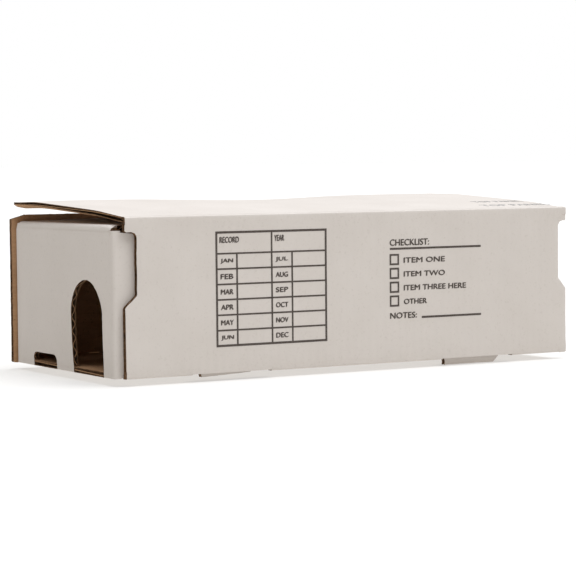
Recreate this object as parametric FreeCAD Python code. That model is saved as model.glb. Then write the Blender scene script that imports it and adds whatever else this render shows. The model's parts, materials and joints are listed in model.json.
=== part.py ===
import FreeCAD, Part

import math
import os

from FreeCAD import Placement, Rotation, Vector

# A mouse-size bait station: a die-cut corrugated carton with a hinged lid, holding a
# snap trap and a glue card. All lengths are in millimetres.
#
# Frame: +X runs along the station, +Y from the printed near wall to the far wall, +Z up.
# The origin is on the ground, under the middle of the whole station. The near wall and
# the lid stand a little to the right of it, and the panels that cradle the bait a little
# to the left.

# ---------------------------------------------------------------- driving dimensions

BOARD = 3.0  # B-flute corrugated board
HEIGHT = 70.0  # floor underside to the top of the closed lid
WIDTH = 110.0  # across the outer faces of the long walls
NEAR_WALL_LENGTH = 235.6
NEAR_WALL_CENTRE_X = 3.05
CRADLE_CENTRE_X = -1.1  # middle of the floor, the end panels and the far wall
END_TO_END = 236.5  # across the outer faces of the end panels
FAR_WALL_LENGTH = 239.5
FAR_WALL_HEIGHT = 69.3
FAR_WALL_CORNER = (7.4, 2.1)  # cut off each top corner, along and down
END_PANEL_HEIGHT = 66.4
TAB_DROP = 3.0  # lock tabs stand this far below the floor panel
GLUE_JOINT = 0.25  # slack between a corner flap and the wall it lies against
CREASE_GAP = 0.05  # left between the near wall's top edge and the lid folded from it
LID_PLAY = 0.5  # between the closed lid's far edge and the far wall

NOTCH_BOTTOM = 31.0  # above the floor's underside
NOTCH_SHOULDER = 36.0
NOTCH_TOP = 63.3
LEFT_NOTCH_DEPTH = 5.6
RIGHT_NOTCH_DEPTH = 4.3

ENTRY_WIDTH = 30.5
ENTRY_HEIGHT = 42.0
ENTRY_CENTRE_Y = -26.3
FINGER_SLOT_WIDTH = 25.0
FINGER_SLOT_HEIGHT = 6.7
FINGER_SLOT_CENTRE_Y = 19.3

LID_REST_ANGLE = 3.2  # a used lid springs up this far from closed
LID_SLEW = 5.6  # the lid's crease is crooked: its far edge lies this far to the left
TUCK_FLAP_DEPTH = 25.0
TUCK_FLAP_HALF_LENGTH = 39.0
TUCK_FLAP_TAPER = 6.0
TUCK_FLAP_LEAN = 10.0  # inward from square to the lid
DUST_FLAP_REST_ANGLE = 1.7
DUST_FLAP_LENGTH = 40.0
DUST_FLAP_ROOT = 96.0
DUST_FLAP_TIP = 70.0

CORNER_FLAP_END = 43.0  # distance of a corner flap's free edge from the cradle's middle
CORNER_FLAP_SLOPE = 8.0  # its top falls by this much towards the free edge
LOCK_SLOT = (46.0, 85.8)  # both ends of a lock slot, from the near wall's middle
LEFT_TAB = (54.7, 79.9)  # lock tabs at the left end, from the near wall's middle
RIGHT_TAB = (49.2, 80.2)  # lock tabs at the right end, from the near wall's middle
SLOT_RELIEF = 0.6  # a long wall's bottom edge is raised this much over a slot
SHALLOW_TAB = (0.2, 1.4)  # drop of the near left tab, which is only part of the way through

TRAP_LENGTH = 98.0
TRAP_WIDTH = 46.0
TRAP_THICKNESS = 6.0
TRAP_CENTRE = (-8.0, -24.0)
STRIKER_REACH = 40.0
STRIKER_WIDTH = 34.0
ARM_LENGTH = 52.0
PEDAL_LENGTH = 24.0
PEDAL_WIDTH = 18.0
DISH_RADIUS = 5.0
DISH_FROM_TIP = 9.0
STAPLE_DEPTH = 4.0  # driven into the wood
STRIKER_STAPLE_SPACING = 12.0
PEDAL_STAPLE_SPAN = 24.0
ARM_STAPLE_SPAN = 8.0
STRIKER_WIRE = 1.1  # wire radii
STAPLE_WIRE = 0.8
ARM_WIRE = 0.8
SPRING_WIRE = 0.6
RUNNING_GAP = 0.1

CARD_LENGTH = 150.0
CARD_WIDTH = 43.0
CARD_CENTRE = (-2.0, 24.5)
CARD_THICKNESS = 0.8
CARD_MARGIN = 5.0  # left clear of glue
GLUE_THICKNESS = 0.8
LURE_FOOT_RADIUS = 4.5
LURE_NECK_RADIUS = 5.2
LURE_RIM_RADIUS = 6.5
LURE_RIM_HEIGHT = 7.0
LURE_HEIGHT = 9.0
LURE_BASE = 3.0  # thickness under the hollow

# ---------------------------------------------------------------- levels and faces

FLOOR_UNDERSIDE = TAB_DROP
FLOOR_TOP = FLOOR_UNDERSIDE + BOARD
LID_TOP = FLOOR_UNDERSIDE + HEIGHT
LID_UNDERSIDE = LID_TOP - BOARD
END_PANEL_TOP = FLOOR_UNDERSIDE + END_PANEL_HEIGHT
WALL_FACE = WIDTH / 2  # outer face of a long wall
WALL_INNER = WALL_FACE - BOARD
END_FACE = END_TO_END / 2  # outer face of an end panel, from the cradle's middle
END_INNER = END_FACE - BOARD
LID_FAR_EDGE = WALL_INNER - LID_PLAY
LEFT, RIGHT = -1, 1
NEAR, FAR = -1, 1


def outline(corners):
    """A closed wire in the XY plane through (x, y, radius) corners, each rounded by its radius."""
    count = len(corners)
    starts, ends, middles = [], [], []
    for i, (x, y, radius) in enumerate(corners):
        here = Vector(x, y, 0)
        before = Vector(*corners[i - 1][:2], 0)
        after = Vector(*corners[(i + 1) % count][:2], 0)
        back = (before - here).normalize()
        onward = (after - here).normalize()
        half = back.getAngle(onward) / 2
        trim = radius / math.tan(half)
        starts.append(here + back * trim)
        ends.append(here + onward * trim)
        bisector = (back + onward).normalize()
        middles.append(here + bisector * (radius / math.sin(half) - radius))
    edges = []
    for i, (x, y, radius) in enumerate(corners):
        if radius > 0:
            edges.append(Part.Arc(starts[i], middles[i], ends[i]).toShape())
        following = starts[(i + 1) % count]
        if ends[i].distanceToPoint(following) > 1e-6:
            edges.append(Part.makeLine(ends[i], following))
    return Part.Wire(edges)


def flat_sheet(corners, thickness):
    """A sheet lying on the XY plane, its thickness running up."""
    return Part.Face(outline(corners)).extrude(Vector(0, 0, thickness))


def level_sheet(corners, bottom, thickness=BOARD):
    """A horizontal panel drawn as (x, y) from above."""
    sheet = flat_sheet(corners, thickness)
    sheet.translate(Vector(0, 0, bottom))
    return sheet


def long_sheet(corners, y_low, thickness=BOARD):
    """An upright panel along the station, drawn as (x, z)."""
    sheet = flat_sheet(corners, thickness)
    sheet.rotate(Vector(0, 0, 0), Vector(1, 0, 0), 90)
    sheet.translate(Vector(0, y_low + thickness, 0))
    return sheet


def cross_sheet(corners, x_low, thickness=BOARD):
    """An upright panel across the station, drawn as (y, z)."""
    sheet = flat_sheet(corners, thickness)
    upright = Rotation(Vector(1, 1, 1), 120)
    sheet.Placement = Placement(Vector(x_low, 0, 0), upright)
    return sheet


def mirrored_pair(half):
    """Corners up the +x side, followed by their mirror images down the -x side."""
    return half + [(-x, z, radius) for x, z, radius in reversed(half)]


def bent_path(points, bend):
    """Edges through the points, with each inside corner bent to the given centre radius."""
    points = [Vector(*p) for p in points]
    starts, ends, arcs = {}, {}, {}
    for i in range(1, len(points) - 1):
        here = points[i]
        back = (points[i - 1] - here).normalize()
        onward = (points[i + 1] - here).normalize()
        half = back.getAngle(onward) / 2
        trim = bend / math.tan(half)
        starts[i] = here + back * trim
        ends[i] = here + onward * trim
        bisector = (back + onward).normalize()
        middle = here + bisector * (bend / math.sin(half) - bend)
        arcs[i] = Part.Arc(starts[i], middle, ends[i]).toShape()
    edges = []
    for i in range(len(points) - 1):
        tail = ends.get(i, points[i])
        head = starts.get(i + 1, points[i + 1])
        if i in arcs:
            edges.append(arcs[i])
        if tail.distanceToPoint(head) > 1e-6:
            edges.append(Part.makeLine(tail, head))
    return edges


def round_wire(edges, radius):
    """Round wire of the given radius swept along the edges, in order."""
    first = edges[0]
    start = first.valueAt(first.FirstParameter)
    direction = first.tangentAt(first.FirstParameter)
    profile = Part.Wire(Part.makeCircle(radius, start, direction))
    return Part.Wire(edges).makePipeShell([profile], True, True)


def turned(shape, point, axis, degrees):
    """The shape turned about a line."""
    copy = shape.copy()
    copy.rotate(Vector(*point), Vector(*axis), degrees)
    return copy


# ---------------------------------------------------------------- carton panels


def along(corners, centre_x):
    """Corners (x, z, radius) carried along the station to a panel's middle."""
    return [(centre_x + x, z, radius) for x, z, radius in corners]


def floor_panel():
    """Floor, with a slot along each long fold for every lock tab."""
    half = [(END_FACE, WALL_INNER, 0), (END_FACE, -WALL_INNER, 0)]
    panel = level_sheet(along(mirrored_pair(half), CRADLE_CENTRE_X), FLOOR_UNDERSIDE)
    slot_start, slot_end = LOCK_SLOT
    slot_depth = BOARD + 2 * GLUE_JOINT
    for end in (LEFT, RIGHT):
        for side in (NEAR, FAR):
            x_low = NEAR_WALL_CENTRE_X + min(end * slot_start, end * slot_end)
            y_low = min(side * WALL_INNER, side * (WALL_INNER - slot_depth))
            corner = Vector(x_low, y_low, FLOOR_UNDERSIDE)
            length = slot_end - slot_start
            panel = panel.cut(Part.makeBox(length, slot_depth, BOARD, corner))
    return panel


def relief_corners(end):
    """A long wall's bottom edge from the middle outwards, relieved over one lock slot."""
    middle = NEAR_WALL_CENTRE_X
    slot_start, slot_end = LOCK_SLOT
    raised = FLOOR_UNDERSIDE + SLOT_RELIEF
    return [
        (middle + end * slot_start, FLOOR_UNDERSIDE, 0),
        (middle + end * (slot_start + SLOT_RELIEF), raised, 0),
        (middle + end * (slot_end - SLOT_RELIEF), raised, 0),
        (middle + end * slot_end, FLOOR_UNDERSIDE, 0),
    ]


def near_wall():
    """Printed wall: notched at both ends, with the lid folded from its top edge."""
    half_length = NEAR_WALL_LENGTH / 2
    top = LID_UNDERSIDE - CREASE_GAP
    halves = {}
    for end, depth in ((LEFT, LEFT_NOTCH_DEPTH), (RIGHT, RIGHT_NOTCH_DEPTH)):
        edge = NEAR_WALL_CENTRE_X + end * half_length
        inset = edge - end * depth
        halves[end] = relief_corners(end) + [
            (edge, FLOOR_UNDERSIDE, 1.0),
            (edge, FLOOR_UNDERSIDE + NOTCH_BOTTOM, 1.0),
            (inset, FLOOR_UNDERSIDE + NOTCH_SHOULDER, 1.0),
            (inset, FLOOR_UNDERSIDE + NOTCH_TOP, 2.5),
            (edge, FLOOR_UNDERSIDE + NOTCH_TOP, 0.8),
            (edge, top, 0),
        ]
    return long_sheet(halves[RIGHT] + halves[LEFT][::-1], -WALL_FACE)


def far_wall():
    """Plain wall, with its top corners cut back."""
    half_length = FAR_WALL_LENGTH / 2
    top = FLOOR_UNDERSIDE + FAR_WALL_HEIGHT
    cut_along, cut_down = FAR_WALL_CORNER
    halves = {}
    for end in (LEFT, RIGHT):
        edge = CRADLE_CENTRE_X + end * half_length
        halves[end] = relief_corners(end) + [
            (edge, FLOOR_UNDERSIDE, 1.0),
            (edge, top - cut_down, 0.8),
            (edge - end * cut_along, top, 4.0),
        ]
    return long_sheet(halves[RIGHT] + halves[LEFT][::-1], WALL_INNER)


def end_panel(end):
    """End panel: an arched entry by the near wall and a finger slot at the floor fold."""
    half_width = WALL_INNER - GLUE_JOINT
    entry_low = ENTRY_CENTRE_Y - ENTRY_WIDTH / 2
    entry_high = ENTRY_CENTRE_Y + ENTRY_WIDTH / 2
    entry_top = FLOOR_UNDERSIDE + ENTRY_HEIGHT
    slot_low = FINGER_SLOT_CENTRE_Y - FINGER_SLOT_WIDTH / 2
    slot_high = FINGER_SLOT_CENTRE_Y + FINGER_SLOT_WIDTH / 2
    slot_top = FLOOR_UNDERSIDE + FINGER_SLOT_HEIGHT
    corners = [
        (-half_width, FLOOR_TOP, 0),
        (entry_low, FLOOR_TOP, 0),
        (entry_low, entry_top, ENTRY_WIDTH / 2 - 0.01),
        (entry_high, entry_top, ENTRY_WIDTH / 2 - 0.01),
        (entry_high, FLOOR_TOP, 0),
        (slot_low, FLOOR_TOP, 0),
        (slot_low, slot_top, 3.0),
        (slot_high, slot_top, 3.0),
        (slot_high, FLOOR_TOP, 0),
        (half_width, FLOOR_TOP, 0),
        (half_width, END_PANEL_TOP - BOARD, 0),
        (-half_width, END_PANEL_TOP - BOARD, 0),
    ]
    x_low = END_INNER if end == RIGHT else -END_FACE
    return cross_sheet(corners, CRADLE_CENTRE_X + x_low)


def corner_flap(end, side):
    """Flap folded from an end panel, flat against a long wall, with its lock tab down."""
    fold = CRADLE_CENTRE_X + end * END_INNER
    free = CRADLE_CENTRE_X + end * CORNER_FLAP_END
    tab_start, tab_end = LEFT_TAB if end == LEFT else RIGHT_TAB
    tab_start = NEAR_WALL_CENTRE_X + end * tab_start
    tab_end = NEAR_WALL_CENTRE_X + end * tab_end
    shallow = end == LEFT and side == NEAR
    drop_start, drop_end = SHALLOW_TAB if shallow else (TAB_DROP, TAB_DROP)
    fold_top = END_PANEL_TOP - BOARD
    slant = end * 0.5
    corners = [
        (free, FLOOR_TOP, 3.0),
        (tab_start, FLOOR_TOP, 0),
        (tab_start, FLOOR_UNDERSIDE, 0),
        (tab_start + slant * drop_start, FLOOR_UNDERSIDE - drop_start, 0),
        (tab_end - slant * drop_end, FLOOR_UNDERSIDE - drop_end, 0.4),
        (tab_end, FLOOR_UNDERSIDE, 0),
        (tab_end, FLOOR_TOP, 0),
        (fold, FLOOR_TOP, 0),
        (fold, fold_top, 0),
        (free, fold_top - CORNER_FLAP_SLOPE, 8.0),
    ]
    y_outer = WALL_INNER - GLUE_JOINT
    y_low = -y_outer if side == NEAR else y_outer - BOARD
    return long_sheet(corners, y_low)


def lid():
    """Lid, folded from the top of the near wall and sprung slightly open."""
    low = NEAR_WALL_CENTRE_X - NEAR_WALL_LENGTH / 2
    high = NEAR_WALL_CENTRE_X + NEAR_WALL_LENGTH / 2
    closed = level_sheet(
        [
            (low, -WALL_FACE, 0),
            (high, -WALL_FACE, 0),
            (high - LID_SLEW, LID_FAR_EDGE, 1.0),
            (low - LID_SLEW, LID_FAR_EDGE, 1.0),
        ],
        LID_UNDERSIDE,
    )
    return opened_with_lid(closed)


def lid_tuck_flap():
    """Tapered flap at the lid's far edge, which tucks inside the far wall."""
    root = TUCK_FLAP_HALF_LENGTH
    tip = root - TUCK_FLAP_TAPER
    tip_level = LID_UNDERSIDE - TUCK_FLAP_DEPTH
    shape = mirrored_pair([(tip, tip_level, 6.0), (root, LID_UNDERSIDE, 0)])
    square = long_sheet(along(shape, NEAR_WALL_CENTRE_X - LID_SLEW), LID_FAR_EDGE - BOARD)
    fold = (0, LID_FAR_EDGE - BOARD, LID_UNDERSIDE)
    return opened_with_lid(turned(square, fold, (1, 0, 0), -TUCK_FLAP_LEAN))


def opened_with_lid(shape):
    """Carries a closed-lid shape to where it rests, about the lid's fold."""
    return turned(shape, (0, -WALL_FACE, LID_TOP), (1, 0, 0), LID_REST_ANGLE)


def dust_flap(end):
    """Flap folded inwards from the top of an end panel, under the lid."""
    root_half = DUST_FLAP_ROOT / 2
    tip_half = DUST_FLAP_TIP / 2
    fold_x = CRADLE_CENTRE_X + end * END_FACE
    tip_x = fold_x - end * DUST_FLAP_LENGTH
    level = level_sheet(
        [
            (fold_x, -root_half, 0),
            (tip_x, -tip_half, 5.0),
            (tip_x, tip_half, 5.0),
            (fold_x, root_half, 0),
        ],
        END_PANEL_TOP - BOARD,
    )
    fold = (fold_x, 0, END_PANEL_TOP)
    return turned(level, fold, (0, end, 0), DUST_FLAP_REST_ANGLE)


# ---------------------------------------------------------------- snap trap

TRAP_X, TRAP_Y = TRAP_CENTRE
TRAP_TOP = FLOOR_TOP + TRAP_THICKNESS
AXLE_X = TRAP_X - 1.0
AXLE_Z = TRAP_TOP + 2.8
ARM_PIVOT_X = TRAP_X + TRAP_LENGTH / 2 - 5.0
ARM_PIVOT_Z = TRAP_TOP + 2.7
PEDAL_PIVOT_X = AXLE_X - 9.0
PEDAL_PIVOT_Z = TRAP_TOP + 3.2


def straddle_staple(y):
    """Staple over the striker axle: an arch round the axle, with both legs in the wood."""
    arch = STRIKER_WIRE + RUNNING_GAP + STAPLE_WIRE
    foot = TRAP_TOP - STAPLE_DEPTH
    left_foot = Vector(AXLE_X - arch, y, foot)
    left_shoulder = Vector(AXLE_X - arch, y, AXLE_Z)
    crown = Vector(AXLE_X, y, AXLE_Z + arch)
    right_shoulder = Vector(AXLE_X + arch, y, AXLE_Z)
    right_foot = Vector(AXLE_X + arch, y, foot)
    edges = [
        Part.makeLine(left_foot, left_shoulder),
        Part.Arc(left_shoulder, crown, right_shoulder).toShape(),
        Part.makeLine(right_shoulder, right_foot),
    ]
    return round_wire(edges, STAPLE_WIRE)


def bar_staple(x, z, span):
    """Staple with a straight bar along Y, on which a part turns."""
    foot = TRAP_TOP - STAPLE_DEPTH
    low = TRAP_Y - span / 2
    high = TRAP_Y + span / 2
    points = [(x, low, foot), (x, low, z), (x, high, z), (x, high, foot)]
    return round_wire(bent_path(points, 1.2), STAPLE_WIRE)


def staples():
    """The four staples of the trap, as separate solids."""
    return [
        straddle_staple(TRAP_Y - STRIKER_STAPLE_SPACING / 2),
        straddle_staple(TRAP_Y + STRIKER_STAPLE_SPACING / 2),
        bar_staple(PEDAL_PIVOT_X, PEDAL_PIVOT_Z, PEDAL_STAPLE_SPAN),
        bar_staple(ARM_PIVOT_X, ARM_PIVOT_Z, ARM_STAPLE_SPAN),
    ]


def trap_base():
    """Softwood base with rounded corners and the holes that the staples are driven into."""
    half_length = TRAP_LENGTH / 2
    half_width = TRAP_WIDTH / 2
    base = level_sheet(
        [
            (TRAP_X - half_length, TRAP_Y - half_width, 1.5),
            (TRAP_X + half_length, TRAP_Y - half_width, 1.5),
            (TRAP_X + half_length, TRAP_Y + half_width, 1.5),
            (TRAP_X - half_length, TRAP_Y + half_width, 1.5),
        ],
        FLOOR_TOP,
        TRAP_THICKNESS,
    )
    for staple in staples():
        base = base.cut(staple)
    return base


def trap_striker():
    """Spring-driven striker: one closed wire frame, lying forward on the base."""
    half = STRIKER_WIDTH / 2
    front_x = AXLE_X - STRIKER_REACH
    loop = [
        (AXLE_X, TRAP_Y, AXLE_Z),
        (AXLE_X, TRAP_Y + half, AXLE_Z),
        (front_x, TRAP_Y + half, AXLE_Z),
        (front_x, TRAP_Y - half, AXLE_Z),
        (AXLE_X, TRAP_Y - half, AXLE_Z),
        (AXLE_X, TRAP_Y, AXLE_Z),
    ]
    level = round_wire(bent_path(loop, 2.5), STRIKER_WIRE)
    fall = AXLE_Z - TRAP_TOP - STRIKER_WIRE - 0.05
    droop = math.degrees(math.asin(fall / STRIKER_REACH))
    return turned(level, (AXLE_X, 0, AXLE_Z), (0, 1, 0), -droop)


def trap_spring():
    """Two torsion coils on the striker axle, each with a leg on the wood and one on the frame."""
    coil_radius = STRIKER_WIRE + 0.3 + SPRING_WIRE
    turns = 4
    pitch = 2 * SPRING_WIRE + 0.1
    rear_leg_slope = 25.0
    coil_from_middle = STRIKER_STAPLE_SPACING / 2 + 2.5
    front_reach = 9.0  # from the axle to the end of the leg hooked over the frame
    coil_length = (turns + rear_leg_slope / 360) * pitch

    helix = Part.makeHelix(pitch, coil_length, coil_radius)
    helix.rotate(Vector(0, 0, 0), Vector(0, 0, 1), 90 - rear_leg_slope)
    helix.rotate(Vector(0, 0, 0), Vector(1, 0, 0), 90)
    helix.translate(Vector(AXLE_X, TRAP_Y - coil_from_middle, AXLE_Z))
    coil = helix.Edges
    rear_start = coil[0].valueAt(coil[0].FirstParameter)
    rear_way = coil[0].tangentAt(coil[0].FirstParameter)
    front_start = coil[-1].valueAt(coil[-1].LastParameter)
    front_way = coil[-1].tangentAt(coil[-1].LastParameter)

    fall = rear_start.z - TRAP_TOP - SPRING_WIRE - 0.05
    rear_end = rear_start - rear_way * (fall / rear_way.z)
    frame_y = TRAP_Y - STRIKER_WIDTH / 2
    front_bend = front_start + front_way * 5.0
    front_end = Vector(AXLE_X - front_reach, frame_y - 1.5, front_start.z)
    rear_leg = bent_path([rear_end, rear_start], 0)
    front_leg = bent_path([front_start, front_bend, front_end], 1.5)
    near_spring = round_wire(rear_leg + coil + front_leg, SPRING_WIRE)
    far_spring = near_spring.mirror(Vector(0, TRAP_Y, 0), Vector(0, 1, 0))
    return [near_spring, far_spring]


def trap_hold_down_arm():
    """Wire arm with an eye on the rear staple, lying back behind the base."""
    eye_radius = STAPLE_WIRE + RUNNING_GAP + ARM_WIRE
    pivot = Vector(ARM_PIVOT_X, TRAP_Y, ARM_PIVOT_Z)
    eye = Part.makeTorus(eye_radius, ARM_WIRE, pivot, Vector(0, 1, 0))
    start = pivot + Vector(eye_radius, 0, 0)
    rod = Part.makeCylinder(ARM_WIRE, ARM_LENGTH - eye_radius, start, Vector(1, 0, 0))
    level = eye.fuse(rod)
    fall = ARM_PIVOT_Z - FLOOR_TOP - ARM_WIRE - 0.1
    droop = math.degrees(math.asin(fall / ARM_LENGTH))
    return turned(level, (ARM_PIVOT_X, 0, ARM_PIVOT_Z), (0, 1, 0), droop)


PEDAL_SHEET = 0.6
PEDAL_PLATE_Z = PEDAL_PIVOT_Z + STAPLE_WIRE + RUNNING_GAP
DISH_CENTRE_X = PEDAL_PIVOT_X - PEDAL_LENGTH + DISH_FROM_TIP


def trap_bait_pedal():
    """Stamped pedal: a curl on its staple, a dished plate in front and a catch behind."""
    curl_inner = STAPLE_WIRE + RUNNING_GAP
    low_y = TRAP_Y - PEDAL_WIDTH / 2
    curl_start = Vector(PEDAL_PIVOT_X, low_y, PEDAL_PIVOT_Z)
    across = Vector(0, 1, 0)
    curl = Part.makeCylinder(curl_inner + PEDAL_SHEET, PEDAL_WIDTH, curl_start, across)
    tip_x = PEDAL_PIVOT_X - PEDAL_LENGTH
    plate = level_sheet(
        [
            (PEDAL_PIVOT_X, low_y, 0),
            (PEDAL_PIVOT_X, low_y + PEDAL_WIDTH, 0),
            (tip_x, low_y + PEDAL_WIDTH, 5.0),
            (tip_x, low_y, 5.0),
        ],
        PEDAL_PLATE_Z,
        PEDAL_SHEET,
    )
    catch_width = 7.0
    catch_height = 4.0
    catch_corner = Vector(PEDAL_PIVOT_X, TRAP_Y - catch_width / 2, PEDAL_PLATE_Z)
    catch = Part.makeBox(PEDAL_SHEET, catch_width, catch_height, catch_corner)
    rim_centre = Vector(DISH_CENTRE_X, TRAP_Y, PEDAL_PLATE_Z + PEDAL_SHEET)
    rim = Part.makeTorus(DISH_RADIUS, 0.5, rim_centre, Vector(0, 0, 1))
    pedal = curl.fuse([plate, catch, rim])
    pedal = pedal.cut(Part.makeCylinder(curl_inner, PEDAL_WIDTH, curl_start, across))
    return pedal.removeSplitter()


def bait_pellet():
    """Soft bait pressed into the pedal's dish."""
    dish_floor = PEDAL_PLATE_Z + PEDAL_SHEET
    sunk = 2.0  # the ball's centre is this far below the dish
    ball = Part.makeSphere(DISH_RADIUS, Vector(DISH_CENTRE_X, TRAP_Y, dish_floor - sunk))
    room = Part.makeCylinder(
        DISH_RADIUS - 0.6, DISH_RADIUS, Vector(DISH_CENTRE_X, TRAP_Y, dish_floor)
    )
    return ball.common(room)


# ---------------------------------------------------------------- glue card


def card_corners(margin, radius):
    """Outline of the card, or of what lies on it inside an even margin."""
    centre_x, centre_y = CARD_CENTRE
    half_length = CARD_LENGTH / 2 - margin
    half_width = CARD_WIDTH / 2 - margin
    return [
        (centre_x - half_length, centre_y - half_width, radius),
        (centre_x + half_length, centre_y - half_width, radius),
        (centre_x + half_length, centre_y + half_width, radius),
        (centre_x - half_length, centre_y + half_width, radius),
    ]


def glue_card():
    """Card that carries the adhesive."""
    return level_sheet(card_corners(0, 3.0), FLOOR_TOP, CARD_THICKNESS)


def glue_layer():
    """Tacky layer spread inside the card's margin."""
    bottom = FLOOR_TOP + CARD_THICKNESS
    return level_sheet(card_corners(CARD_MARGIN, 2.0), bottom, GLUE_THICKNESS)


def lure_capsule():
    """Rubber lure capsule: a flanged cup, hollow at the top, stuck to the glue."""
    bottom = FLOOR_TOP + CARD_THICKNESS + GLUE_THICKNESS
    centre_x, centre_y = CARD_CENTRE
    profile = [
        (0, 0, 0),
        (LURE_FOOT_RADIUS, 0, 0.8),
        (LURE_NECK_RADIUS, LURE_RIM_HEIGHT, 0),
        (LURE_RIM_RADIUS, LURE_RIM_HEIGHT, 0.5),
        (LURE_RIM_RADIUS, LURE_HEIGHT, 0.5),
        (LURE_NECK_RADIUS - 2.0, LURE_HEIGHT, 0.5),
        (LURE_NECK_RADIUS - 2.4, LURE_BASE, 0.6),
        (0, LURE_BASE, 0),
    ]
    face = Part.Face(outline(profile))
    capsule = face.revolve(Vector(0, 0, 0), Vector(0, 1, 0), 360)
    capsule.rotate(Vector(0, 0, 0), Vector(1, 0, 0), 90)
    capsule.translate(Vector(centre_x, centre_y, bottom))
    return capsule


# ---------------------------------------------------------------- export


def build_parts():
    """Every node of the station, as one solid or a list of solids."""
    parts = {
        "floor_panel": floor_panel(),
        "near_wall": near_wall(),
        "far_wall": far_wall(),
        "lid": lid(),
        "lid_tuck_flap": lid_tuck_flap(),
        "trap_base": trap_base(),
        "trap_staples": staples(),
        "trap_striker": trap_striker(),
        "trap_spring": trap_spring(),
        "trap_hold_down_arm": trap_hold_down_arm(),
        "trap_bait_pedal": trap_bait_pedal(),
        "bait_pellet": bait_pellet(),
        "glue_card": glue_card(),
        "glue_layer": glue_layer(),
        "lure_capsule": lure_capsule(),
    }
    for end, end_name in ((LEFT, "left"), (RIGHT, "right")):
        parts[f"{end_name}_end_panel"] = end_panel(end)
        parts[f"{end_name}_dust_flap"] = dust_flap(end)
        parts[f"near_{end_name}_corner_flap"] = corner_flap(end, NEAR)
        parts[f"far_{end_name}_corner_flap"] = corner_flap(end, FAR)
    return parts


def main():
    os.makedirs("parts", exist_ok=True)
    for name, built in build_parts().items():
        solids = built if isinstance(built, list) else [built]
        solids = [solid for shape in solids for solid in shape.Solids]
        shape = solids[0] if len(solids) == 1 else Part.makeCompound(solids)
        if not shape.isValid():
            raise ValueError(f"{name} isn't a valid shape")
        shape.exportStep(f"parts/{name}.step")
        box = shape.BoundBox
        print(
            f"{name}: {len(solids)} solid(s), {shape.Volume:.1f} mm3, "
            f"x {box.XMin:.2f}..{box.XMax:.2f}, y {box.YMin:.2f}..{box.YMax:.2f}, "
            f"z {box.ZMin:.2f}..{box.ZMax:.2f}"
        )


main()
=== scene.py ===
import json
import math
import random

import bmesh
import bpy
from mathutils import Matrix, Vector, geometry, noise


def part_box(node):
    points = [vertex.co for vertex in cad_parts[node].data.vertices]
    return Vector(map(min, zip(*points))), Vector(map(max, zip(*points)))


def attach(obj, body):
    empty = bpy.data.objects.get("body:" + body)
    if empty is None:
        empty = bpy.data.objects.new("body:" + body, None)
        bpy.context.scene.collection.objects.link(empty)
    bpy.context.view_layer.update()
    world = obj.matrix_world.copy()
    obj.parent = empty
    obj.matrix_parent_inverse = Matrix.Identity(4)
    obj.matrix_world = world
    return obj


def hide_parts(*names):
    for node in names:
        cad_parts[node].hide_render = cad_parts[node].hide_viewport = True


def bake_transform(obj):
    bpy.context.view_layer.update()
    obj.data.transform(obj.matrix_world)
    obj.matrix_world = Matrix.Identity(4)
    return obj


# A corrugated-board bait station. Every panel is built as real board: a white outer
# liner, a fluted medium and a kraft inner liner, cut to the outline of its CAD solid.
# Panel shapes are worked out in millimetres and written to the meshes in metres.

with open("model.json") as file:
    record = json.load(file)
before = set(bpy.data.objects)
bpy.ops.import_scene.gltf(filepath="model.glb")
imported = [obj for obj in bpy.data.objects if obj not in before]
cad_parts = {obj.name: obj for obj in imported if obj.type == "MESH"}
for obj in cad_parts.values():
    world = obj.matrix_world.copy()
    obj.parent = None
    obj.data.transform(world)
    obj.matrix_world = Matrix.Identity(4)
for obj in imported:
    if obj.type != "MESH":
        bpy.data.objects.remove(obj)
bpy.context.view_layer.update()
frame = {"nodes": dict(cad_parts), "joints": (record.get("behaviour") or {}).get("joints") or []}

MM = 0.001
BOARD = 3.0  # thickness of the board
LINER = 0.38
MEDIUM = 0.34
FLUTE_PITCH = 6.4
FLUTE_STEPS = 12  # slices across one flute
FLUTE_SKEW = 0.03  # the flutes run this much out of line with the cuts
GRID = 6.0  # spacing of the points inside a panel
EDGE_STEP = 2.2  # spacing of the points along a cut edge
EDGE_RINGS = (1.5, 4.0)  # distances of the rings of points inside a cut edge
CRUSH_RUN = 4.0  # the board is full thickness this far in from a cut edge
EDGE_CRUSH = 0.25  # how far the cutting knife pressed each liner in at the edge
FOLD_RUN = 3.0  # a fold's round starts this far from its corner
FOLD_STEPS = 8
FOLD_TUCK = 0.6  # a fold's skin runs on this far under the liners it joins
SKIN_SINK = 0.03  # and lies this much deeper there
SURFACE_DEPTH = 0.08  # the outer liner lies this far inside the CAD face

# The third finish is the fluting paper, painted dark with the shade that falls inside flutes and
# at cut edges.
WHITE, KRAFT, SHADED_FLUTE = 0, 1, 2


def box_mm(node):
    """Lowest and highest corner of a CAD node, in millimetres."""
    low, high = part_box(node)
    return low / MM, high / MM


def joint(name):
    return next(j for j in frame["joints"] if j["name"] == name)


# ---- panels as flat sheets


class Panel:
    """A flat panel: (u, v) on its outer face, w inwards from it."""

    def __init__(self, origin, along, up, inward, turn=None, shape=None):
        rows = Matrix((along, up, inward)).transposed().to_4x4()
        self.matrix = Matrix.Translation(origin) @ rows
        if turn is not None:
            self.matrix = turn @ self.matrix
        self.shape = shape

    def place(self, u, v, w):
        """A panel point in metres, after any bowing or warping."""
        if self.shape is not None:
            u, v, w = self.shape(u, v, w)
        return (self.matrix @ Vector((u, v, w))) * MM


def turn_about(point, axis, degrees):
    """Rotation about a line, in millimetres."""
    point = Vector(point)
    spin = Matrix.Rotation(math.radians(degrees), 4, Vector(axis))
    return Matrix.Translation(point) @ spin @ Matrix.Translation(-point)


def in_scene(name, data):
    """A new object in the scene that holds the data."""
    thing = bpy.data.objects.new(name, data)
    bpy.context.scene.collection.objects.link(thing)
    return thing


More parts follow.
